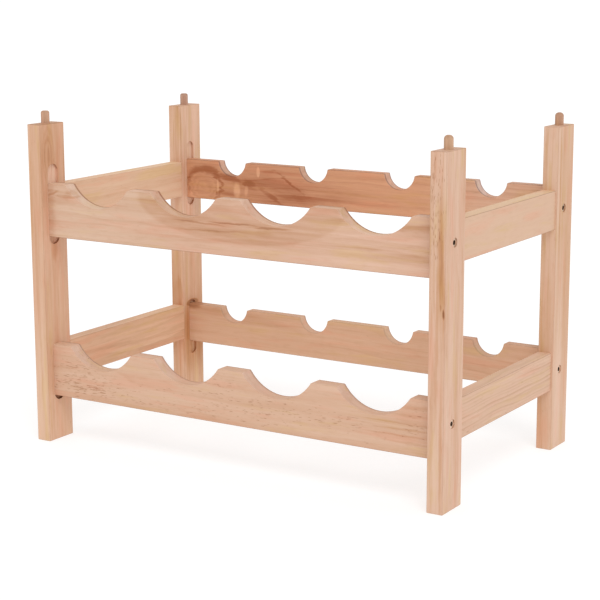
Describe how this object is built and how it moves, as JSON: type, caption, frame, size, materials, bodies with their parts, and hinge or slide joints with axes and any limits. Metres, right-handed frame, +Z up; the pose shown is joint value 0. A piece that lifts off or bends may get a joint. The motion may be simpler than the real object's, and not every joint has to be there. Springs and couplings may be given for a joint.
{
  "type": "wine rack",
  "caption": "Stackable pine rack that stores wine bottles on their sides, with scooped front rails for the bodies and notched back rails for the necks.",
  "frame": {"origin": "middle of the footprint, on the floor", "axes": "+X along the long rails, towards the right-hand posts; +Y from the bottle-body rails to the neck rails; +Z up"},
  "size_m": [0.45, 0.264, 0.325],
  "materials": {
    "pine_post": "sanded, unfinished pine, grain upright",
    "pine_rail": "sanded, unfinished pine, grain along the rail",
    "dowel_wood": "sanded, unfinished dowel stock",
    "screw_steel": "yellow-passivated zinc plate"
  },
  "bodies": {
    "root": {"back_rail_lower": "pine_rail", "back_rail_upper": "pine_rail", "front_rail_lower": "pine_rail", "front_rail_upper": "pine_rail", "joint_dowel_back_left_lower_high": "dowel_wood", "joint_dowel_back_left_lower_low": "dowel_wood", "joint_dowel_back_left_upper_high": "dowel_wood", "joint_dowel_back_left_upper_low": "dowel_wood", "joint_dowel_back_right_lower_high": "dowel_wood", "joint_dowel_back_right_lower_low": "dowel_wood", "joint_dowel_back_right_upper_high": "dowel_wood", "joint_dowel_back_right_upper_low": "dowel_wood", "joint_dowel_front_left_lower_high": "dowel_wood", "joint_dowel_front_left_lower_low": "dowel_wood", "joint_dowel_front_left_upper_high": "dowel_wood", "joint_dowel_front_left_upper_low": "dowel_wood", "joint_dowel_front_right_lower_high": "dowel_wood", "joint_dowel_front_right_lower_low": "dowel_wood", "joint_dowel_front_right_upper_high": "dowel_wood", "joint_dowel_front_right_upper_low": "dowel_wood", "post_back_left": "pine_post", "post_back_right": "pine_post", "post_front_left": "pine_post", "post_front_right": "pine_post", "screw_back_left_lower": "screw_steel", "screw_back_left_upper": "screw_steel", "screw_back_right_lower": "screw_steel", "screw_back_right_upper": "screw_steel", "screw_front_left_lower": "screw_steel", "screw_front_left_upper": "screw_steel", "screw_front_right_lower": "screw_steel", "screw_front_right_upper": "screw_steel", "side_rail_left_lower": "pine_rail", "side_rail_left_upper": "pine_rail", "side_rail_right_lower": "pine_rail", "side_rail_right_upper": "pine_rail", "stacking_dowel_back_left": "dowel_wood", "stacking_dowel_back_right": "dowel_wood", "stacking_dowel_front_left": "dowel_wood", "stacking_dowel_front_right": "dowel_wood"}
  },
  "joints": []
}
